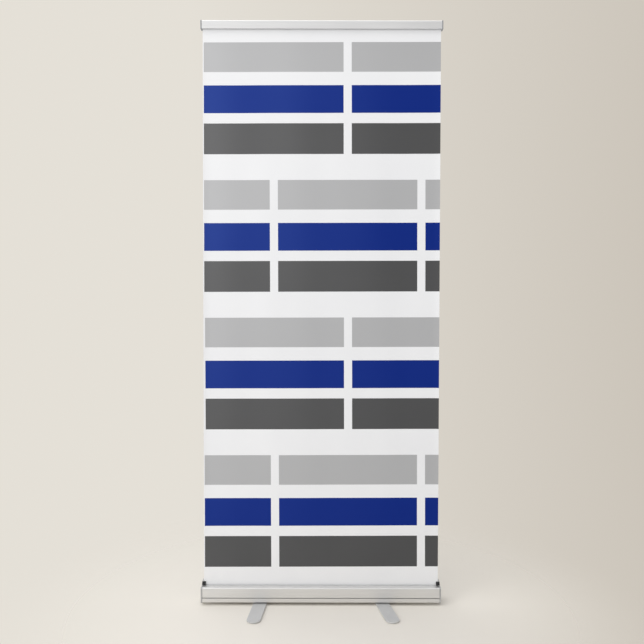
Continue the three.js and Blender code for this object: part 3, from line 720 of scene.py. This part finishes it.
def end_cap(side):
    """A moulded plate with a rolled rim and a sunk panel, its screw seats and the boss for the axle."""
    outward = FACING[side]
    low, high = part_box(f"end_cap_{side}")
    outer = high.x if outward > 0 else low.x
    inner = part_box("cassette_base")[1].x + CLEARANCE
    thickness = abs(outer) - inner
    seats = [centre(f"cap_screw_{side}_{end}") for end in ("front", "rear")]
    cap = cap_blank(f"end_cap_{side}", f"end_cap_moulding_{side}", outward, thickness, seats)
    sunk_panel(cap, outward, 0.6 * MM, 1.5 * MM)
    round_edges(cap, 0.45 * MM, segments=3)

    axle = centre("roller_tube")
    axle_place = along_x(Vector((outward * inner, axle.y, axle.z)), outward)
    boss_profile = [(7 * MM, -2.2 * MM), (7.5 * MM, -1.7 * MM), (7.5 * MM, 1 * MM)]
    boss = place(turned("axle_boss", boss_profile, sides=32, edge=0), axle_place)
    apply_modifier(cap, "BOOLEAN", operation="UNION", object=boss, solver="EXACT")
    bpy.data.objects.remove(boss)
    bore = turned("axle_bore", [(4.3 * MM, -4 * MM), (4.3 * MM, 3.5 * MM)], sides=32, edge=0)
    cut_away(cap, place(bore, axle_place))
    for seat in seats:
        shank, head = 2.3 * MM, 4.1 * MM
        profile = [(shank, -8 * MM), (shank, -2.5 * MM), (head, -0.3 * MM), (head, 1 * MM)]
        seat_tool = turned("screw_seat", profile, sides=32, edge=0)
        cut_away(cap, place(seat_tool, along_x(Vector((outer, seat.y, seat.z)), outward)))

    # A notch on the inside takes the slot's guide block.
    guide_low, guide_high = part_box(f"slot_guide_{side}")
    room = Vector((0.25 * MM, 0.25 * MM, 0.25 * MM))
    middle = (guide_low + guide_high) / 2
    size = guide_high - guide_low + 2 * room
    bpy.ops.mesh.primitive_cube_add(size=1)
    cut_away(cap, place(bpy.context.object, Matrix.Translation(middle) @ Matrix.Diagonal((*size, 1))))
    smooth(cap)
    finish(cap, "cassette", "end_cap", CAP_PLASTIC, f"end_cap_{side}")


def end_caps():
    for side in SIDES:
        end_cap(side)
        block = from_node(f"slot_guide_{side}", f"slot_guide_block_{side}")
        guide = round_edges(block, 0.9 * MM, segments=3)
        finish(guide, "cassette", "black_plastic", BLACK_PLASTIC, f"slot_guide_{side}")


def cross_head_screw():
    """A countersunk screw along Z with its head at z = 0, a cross recess and a thread."""
    radius, head = 2 * MM, 3.8 * MM
    pitch = 0.7 * MM
    thread = []
    z = -15 * MM
    while z < -4.2 * MM:
        thread += [(radius * 0.8, z), (radius, z + pitch / 2)]
        z += pitch
    profile = [
        (radius * 0.6, -16 * MM),
        *thread,
        (radius, -3.6 * MM),
        (radius, -2.2 * MM),
        (head, -0.3 * MM),
        (head, 0),
    ]
    screw = turned("screw_pattern", profile, sides=24, edge=0)
    recess = Matrix.Diagonal((4.4 * MM, 0.9 * MM, 3.2 * MM, 1))
    for turn in (0, 90):
        bpy.ops.mesh.primitive_cube_add(size=1)
        blade = bpy.context.object
        with editing(blade):
            select(blade, "FACE", lambda face: face.normal.z < -0.9)
            bpy.ops.transform.resize(value=(0.45, 1, 1), center_override=(0, 0, -0.5))
        cut_away(screw, place(blade, Matrix.Rotation(math.radians(turn), 4, "Z") @ recess))
    return smooth(screw)


def screws():
    """The same screw holds the end caps and the pole's socket."""
    pattern = cross_head_screw()
    for side, facing in FACING.items():
        for end in ("front", "rear"):
            name = f"cap_screw_{side}_{end}"
            low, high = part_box(name)
            head = centre(name)
            head.x = high.x if facing > 0 else low.x
            screw = copy_of(pattern, f"cross_head_{side}_{end}")
            finish(place(screw, along_x(head, facing)), "cassette", "fastener", ZINC_STEEL, name)
    screw = copy_of(pattern, "cross_head_socket")
    head_at = Matrix.Translation((0, 0, span("pole_socket_screw")[0]))
    place(screw, POLE_PLACE @ head_at @ Matrix.Rotation(math.pi, 4, "X"))
    finish(screw, "cassette", "fastener", ZINC_STEEL, "pole_socket_screw")
    bpy.data.objects.remove(pattern)


# ---------------------------------------------------------------- roller


def roller_parts():
    low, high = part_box("roller_tube")
    middle = (low + high) / 2
    radius = (high.z - low.z) / 2
    wall = 1.3 * MM
    half = (high.x - low.x) / 2
    profile = [(radius, -half), (radius, half), (radius - wall, half), (radius - wall, -half)]
    tube = place(turned("roller_tube_drawn", profile, hollow=True), along_x(middle))
    finish(tube, "roller", "aluminium", ALUMINIUM, "roller_tube")

    axle_low, axle_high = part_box("roller_axle_left")
    axle_radius = (axle_high.z - axle_low.z) / 2
    bore = axle_radius + CLEARANCE
    inside = radius - wall - CLEARANCE
    flange = 3 * MM
    depth = 14 * MM
    plug_profile = [
        (inside - 0.8 * MM, -depth),
        (inside, 2 * MM - depth),
        (inside, CLEARANCE),
        (radius, CLEARANCE),
        (radius, flange),
        (bore, flange),
        (bore, -depth),
    ]
    for side, facing in FACING.items():
        end = Vector((facing * half, middle.y, middle.z))
        plug = turned(f"roller_bearing_plug_{side}", plug_profile, hollow=True)
        place(plug, along_x(end, facing))
        finish(plug, "roller", "black_plastic", BLACK_PLASTIC, f"roller_plug_{side}")

        low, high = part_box(f"roller_axle_{side}")
        outer = high.x if facing > 0 else low.x
        reach = high.x - low.x
        tip = 0.8 * MM
        profile = [
            (axle_radius - tip, -reach),
            (axle_radius, tip - reach),
            (axle_radius, -tip),
            (axle_radius - tip, 0),
        ]
        start = Vector((outer, middle.y, middle.z))
        axle = place(turned(f"roller_axle_pin_{side}", profile, sides=32), along_x(start, facing))
        finish(axle, "cassette", "fastener", ZINC_STEEL, f"roller_axle_{side}")


def roller_spring():
    """A long coiled spring about the right-hand axle, swept from one round of wire."""
    low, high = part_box("roller_spring")
    wire = 1.6 * MM
    radius = 9.5 * MM
    turns = 22
    reach = high.x - low.x - wire
    bpy.ops.mesh.primitive_circle_add(vertices=8, radius=wire / 2, fill_type="NOTHING")
    spring = bpy.context.object
    spring.name = "roller_spring_coil"
    place(spring, Matrix.Translation((radius, 0, 0)) @ Matrix.Rotation(math.radians(90), 4, "X"))
    turn = {"axis": "Z", "angle": 2 * math.pi, "steps": 20, "render_steps": 20}
    apply_modifier(spring, "SCREW", screw_offset=reach / turns, iterations=turns, **turn)
    with editing(spring):
        close_ends()
    smooth(spring, 60)
    middle = centre("roller_tube")
    place(spring, along_x(Vector((low.x + wire / 2, middle.y, middle.z))))
    finish(spring, "cassette", "spring_steel", SPRING_STEEL, "roller_spring")


# ---------------------------------------------------------------- rail


def rail_parts():
    back = round_edges(from_node("rail_back", "rail_back_extrusion"), 0.3 * MM)
    finish(back, "rail", "aluminium", ALUMINIUM, "rail_back")
    jaw = round_edges(from_node("rail_jaw", "rail_jaw_extrusion"), 0.35 * MM)
    finish(jaw, "rail_jaw", "aluminium", ALUMINIUM, "rail_jaw")
    strip = round_edges(from_node("rail_grip_strip", "rail_grip_rubber"), 0.4 * MM)
    finish(strip, "rail_jaw", "rubber", RUBBER, "rail_grip_strip")
    for side, outward in FACING.items():
        cap = from_node(f"rail_cap_{side}", f"rail_cap_moulding_{side}")
        sunk_panel(cap, outward, 0.4 * MM, 1.0 * MM)
        round_edges(cap, 0.3 * MM)
        finish(cap, "rail", "grey_plastic", RAIL_CAP_PLASTIC, f"rail_cap_{side}")


# ---------------------------------------------------------------- pole

POLE_AXIS = Vector(JOINTS["pole_lift"]["axis"]).normalized()
POLE_FOOT = Vector(JOINTS["pole_lock_lower_twist"]["pos_m"])
POLE_LEAN = Vector((0, 0, 1)).rotation_difference(POLE_AXIS).to_matrix().to_4x4()
POLE_PLACE = Matrix.Translation(POLE_FOOT) @ POLE_LEAN


def span(name):
    """Where a CAD node turned about the pole's axis starts and ends along it, and its outer radius."""
    heights, radii = [], []
    for vertex in frame["nodes"][name].data.vertices:
        height = (vertex.co - POLE_FOOT).dot(POLE_AXIS)
        heights.append(height)
        radii.append((vertex.co - POLE_FOOT - height * POLE_AXIS).length)
    return min(heights), max(heights), max(radii)


def pole_tubes():
    wall = 1 * MM
    for section in ("lower", "middle", "upper"):
        low, high, radius = span(f"pole_{section}")
        inner = radius - wall
        profile = [(radius, low), (radius, high), (inner, high), (inner, low)]
        tube = place(turned(f"pole_tube_{section}", profile, hollow=True), POLE_PLACE)
        finish(tube, f"pole_{section}", "aluminium", POLE_ALUMINIUM, f"pole_{section}")


def twist_locks():
    """A ribbed grip with a stepped neck. Every other strip of its grip stands up as a rib."""
    for lock, below, above in (("lower", "lower", "middle"), ("upper", "middle", "upper")):
        low, high, radius = span(f"pole_lock_{lock}")
        below_radius = span(f"pole_{below}")[2] + CLEARANCE
        above_radius = span(f"pole_{above}")[2] + CLEARANCE
        shoulder = span(f"pole_{below}")[1]
        grip = radius - 0.7 * MM
        grip_low = low + 4 * MM
        grip_high = shoulder - 3 * MM
        profile = [
            (grip - 1 * MM, low),
            (grip, low + 1 * MM),
            (grip, grip_low),
            (grip, grip_high),
            (grip, shoulder - 1 * MM),
            (grip - 1.6 * MM, shoulder + 2 * MM),
            (grip - 2.4 * MM, high - 1.2 * MM),
            (grip - 3.4 * MM, high),
            (above_radius, high),
            (above_radius, shoulder + CLEARANCE),
            (below_radius, shoulder + CLEARANCE),
            (below_radius, low),
        ]
        sides = 48

        def is_rib(face, low=grip_low, high=grip_high, radius=grip - 0.2 * MM):
            middle = face.calc_center_median()
            strip = math.degrees(math.atan2(*middle.xy)) // (360 / sides)
            return low < middle.z < high and middle.xy.length > radius and strip % 2 == 0

        collar = turned(f"twist_lock_{lock}", profile, sides=sides, edge=0, hollow=True)
        with editing(collar):
            select(collar, "FACE", is_rib)
            bpy.ops.mesh.inset(thickness=0.12 * MM, depth=0, use_individual=True)
            bpy.ops.mesh.inset(thickness=0.15 * MM, depth=0.6 * MM, use_individual=True)
        place(round_edges(collar, 0.12 * MM, segments=1), POLE_PLACE)
        finish(collar, f"pole_lock_{lock}", "black_plastic", BLACK_PLASTIC, f"pole_lock_{lock}")


def pole_plugs():
    """The plug at the pole's foot and the two guide bushes, with grip rings on their spigots."""
    plugs = {"pole_foot_plug": "lower", "pole_bush_middle": "middle", "pole_bush_upper": "upper"}
    for name, body in plugs.items():
        low, high, radius = span(name)
        inner = span(f"pole_{body}")[2] - 1.3 * MM
        flange = span(f"pole_{body}")[0] - CLEARANCE
        profile = [(radius - 0.6 * MM, low), (radius, low + 0.6 * MM), (radius, flange)]
        z = flange + 0.4 * MM
        while z < high - 2 * MM:
            profile += [(inner - 0.4 * MM, z), (inner, z + 0.8 * MM)]
            z += 1.6 * MM
        profile += [(inner - 0.9 * MM, high)]
        plug = place(turned(f"{name}_moulding", profile, sides=32, edge=0.15 * MM), POLE_PLACE)
        finish(plug, f"pole_{body}", "black_plastic", BLACK_PLASTIC, name)


def pole_socket():
    low, high, radius = span("pole_socket")
    bore = span("pole_lower")[2] + CLEARANCE
    seat = span("pole_foot_plug")[0] - CLEARANCE
    hole = 2.3 * MM
    hole_top = span("pole_socket_screw")[1] + CLEARANCE
    profile = [
        (hole, hole_top),
        (hole, low),
        (radius - 0.6 * MM, low),
        (radius, low + 0.6 * MM),
        (radius, high - 1 * MM),
        (radius - 0.6 * MM, high),
        (bore + 0.6 * MM, high),
        (bore, high - 0.9 * MM),
        (bore, seat),
    ]
    socket = place(turned("pole_socket_cup", profile, edge=0.2 * MM), POLE_PLACE)
    finish(socket, "cassette", "black_plastic", BLACK_PLASTIC, "pole_socket")


def pole_head():
    hook = from_node("pole_head", "pole_hook_moulding")
    head = round_edges(hook, 0.6 * MM, segments=3, sharpness=40)
    finish(head, "pole_upper", "black_plastic", BLACK_PLASTIC, "pole_head")


# ---------------------------------------------------------------- feet

PIN_HEAD = 6.4 * MM
PIN_SHANK = 4 * MM
PIN_RIM = 0.5 * MM
PIN_TAPER = 2.9 * MM


def foot_bar(side):
    """A flat bar with full-round ends, softened edges and a countersunk hole for its pivot."""
    front = centre(f"foot_pad_{side}_front")
    rear = centre(f"foot_pad_{side}_rear")
    pivot = centre(f"foot_pivot_pin_{side}")
    along = (rear - front).normalized()
    across = Vector((along.y, -along.x, 0))
    low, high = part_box(f"foot_{side}")
    corners = [vertex.co - pivot for vertex in frame["nodes"][f"foot_{side}"].data.vertices]
    half_length = max(corner.dot(along) for corner in corners)
    half_width = max(corner.dot(across) for corner in corners)
    thickness = high.z - low.z

    bpy.ops.mesh.primitive_cube_add(size=1)
    bar = bpy.context.object
    bar.name = f"foot_plate_{side}"
    place(bar, Matrix.Diagonal((2 * half_width, 2 * half_length, thickness, 1)))
    nearly_half_round = 0.9995

    def is_upright(edge):
        return abs(edge.verts[0].co.z - edge.verts[1].co.z) > thickness / 2

    with editing(bar):
        select(bar, "EDGE", is_upright)
        bpy.ops.mesh.bevel(offset=half_width * nearly_half_round, segments=24, affect="EDGES")
        bpy.ops.mesh.select_all(action="SELECT")
        bpy.ops.mesh.remove_doubles(threshold=0.05 * MM)
    turn = Matrix(((across.x, along.x, 0), (across.y, along.y, 0), (0, 0, 1))).to_4x4()
    place(bar, Matrix.Translation((pivot.x, pivot.y, (low.z + high.z) / 2)) @ turn)
    round_edges(bar, 0.7 * MM, segments=3, sharpness=60)

    # The hole is the pivot pin's own outline with a little room.
    profile = [
        (PIN_HEAD + CLEARANCE, low.z - CLEARANCE),
        (PIN_HEAD + CLEARANCE, low.z + PIN_RIM),
        (PIN_SHANK + CLEARANCE, low.z + PIN_TAPER),
        (PIN_SHANK + CLEARANCE, high.z + CLEARANCE),
    ]
    tool = turned("foot_hole_tool", profile, edge=0)
    cut_away(bar, place(tool, Matrix.Translation((pivot.x, pivot.y, 0))))
    smooth(bar)
    finish(bar, f"foot_{side}", "foot_steel", FOOT_COAT, f"foot_{side}")


def foot_pads(side):
    """Rubber discs with rings cut into the face that meets the floor."""
    for end in ("front", "rear"):
        name = f"foot_pad_{side}_{end}"
        low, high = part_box(name)
        radius = (high.x - low.x) / 2
        top = high.z
        groove = 0.5 * MM
        rings = []
        for share in (0.82, 0.64, 0.46, 0.28):
            outer = radius * share
            rings += [(outer + 0.6 * MM, 0), (outer, groove)]
            rings += [(outer - 0.8 * MM, groove), (outer - 1.4 * MM, 0)]
        rim = [
            (radius - 0.5 * MM, 0),
            (radius, 0.5 * MM),
            (radius, top - 0.3 * MM),
            (radius - 0.3 * MM, top),
        ]
        profile = [*reversed(rings), *rim]
        middle = centre(name)
        pad = turned(f"foot_pad_rubber_{side}_{end}", profile, sides=40, edge=0)
        place(pad, Matrix.Translation((middle.x, middle.y, 0)))
        smooth(pad)
        finish(pad, f"foot_{side}", "rubber", RUBBER, name)


def foot_pivot(side):
    low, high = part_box(f"foot_pivot_pin_{side}")
    middle = (low + high) / 2
    upright = Matrix.Translation((middle.x, middle.y, 0))
    profile = [
        (PIN_HEAD - 0.3 * MM, low.z),
        (PIN_HEAD, low.z + PIN_RIM),
        (PIN_SHANK, low.z + PIN_TAPER),
        (PIN_SHANK, high.z - 0.8 * MM),
        (PIN_SHANK - 0.8 * MM, high.z),
    ]
    pin = place(turned(f"foot_pivot_{side}", profile, sides=32, edge=0.15 * MM), upright)
    finish(pin, "cassette", "fastener", ZINC_STEEL, f"foot_pivot_pin_{side}")

    low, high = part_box(f"foot_washer_{side}")
    radius = (high.x - low.x) / 2
    hole = PIN_SHANK + CLEARANCE
    profile = [(radius, low.z), (radius, high.z), (hole, high.z), (hole, low.z)]
    washer = place(turned(f"foot_nylon_washer_{side}", profile, edge=0.25 * MM, hollow=True), upright)
    finish(washer, "cassette", "grey_plastic", GREY_PLASTIC, f"foot_washer_{side}")

    nut = round_edges(from_node(f"foot_nut_{side}", f"foot_hex_nut_{side}"), 0.35 * MM, sharpness=40)
    finish(nut, "cassette", "fastener", ZINC_STEEL, f"foot_nut_{side}")


# ---------------------------------------------------------------- studio


def floor():
    """A pale matt floor that fades into the surround, so no horizon shows."""
    bpy.ops.mesh.primitive_circle_add(vertices=96, radius=4, fill_type="NGON")
    made = bpy.context.object
    made.name = "studio_floor"
    material, tree, shader, place_on = new_material("studio_floor_paint", specular=0.15)
    shader.inputs["Roughness"].default_value = 0.85
    clouds = placed(tree, HANDLING, "Value", place_on, Scale=1.5)
    colour = mix_colours(tree, clouds, (0.83, 0.79, 0.72, 1), (0.85, 0.81, 0.74, 1))
    tree.links.new(colour, shader.inputs["Base Color"])
    away = node(tree, "VectorMath", {"operation": "LENGTH"}, n0=place_on).outputs["Value"]
    whole_within, gone_beyond = 0.25, 1.25
    fade = {"n1": whole_within, "n2": gone_beyond, "n3": 1.0, "n4": 0.0}
    shown = node(tree, "MapRange", {"interpolation_type": "SMOOTHSTEP"}, n0=away, **fade)
    tree.links.new(shown.outputs[0], shader.inputs["Alpha"])
    made.data.materials.append(material)


def surround():
    """Pale neutral light from all round, brighter from the left, and warm paper for the view to look on.

    The paper darkens to the right behind the stand, as painted shade, and is pale all round the rest.
    """
    world = bpy.data.worlds.new("studio_surround")
    bpy.context.scene.world = world
    world.use_nodes = True
    tree = world.node_tree
    direction = node(tree, "SeparateXYZ", None, Vector=node(tree, "TexCoord").outputs["Generated"])
    across = direction.outputs["X"]
    to_right = remap(tree, across, -0.42, 0.42, 0.0, 1.0)
    light = mix_colours(tree, to_right, (1.11, 1.11, 1.12, 1), (0.44, 0.44, 0.445, 1))
    # Painted shade on the paper: darker to the right behind the stand.
    behind = remap(tree, direction.outputs["Y"], 0.0, 0.7, 0.0, 1.0)
    share = maths(tree, "MULTIPLY", remap(tree, across, -0.17, 0.42, 0.0, 1.0), behind)
    paper = mix_colours(tree, share, (0.78, 0.745, 0.68, 1), (0.6, 0.555, 0.49, 1))
    seen = node(tree, "LightPath").outputs["Is Camera Ray"]
    tree.links.new(mix_colours(tree, seen, light, paper), tree.nodes["Background"].inputs["Color"])


def soft_light(name, stands_at, aims_at, size, power):
    data = bpy.data.lights.new(name, "AREA")
    data.shape = "RECTANGLE"
    data.size, data.size_y = size
    data.energy = power
    light = bpy.data.objects.new(name, data)
    light.location = stands_at
    aim = Vector(aims_at) - Vector(stands_at)
    light.rotation_euler = aim.to_track_quat("-Z", "Y").to_euler()
    light.visible_camera = False
    bpy.context.scene.collection.objects.link(light)


def studio():
    floor()
    surround()
    soft_light("key_softbox", (-2.5, -2.0, 2.0), (0, 0, 1.3), (1.4, 2.2), 26)
    soft_light("overhead_softbox", (0, -1.0, 4.6), (0, -0.9, 0), (5.0, 3.4), 44)


def build():
    banner_film()
    leader_coil()
    cassette_shells()
    end_caps()
    screws()
    roller_parts()
    roller_spring()
    rail_parts()
    pole_tubes()
    twist_locks()
    pole_plugs()
    pole_socket()
    pole_head()
    for side in SIDES:
        foot_bar(side)
        foot_pads(side)
        foot_pivot(side)
    studio()
    bpy.context.scene.view_settings.view_transform = "Standard"


build()
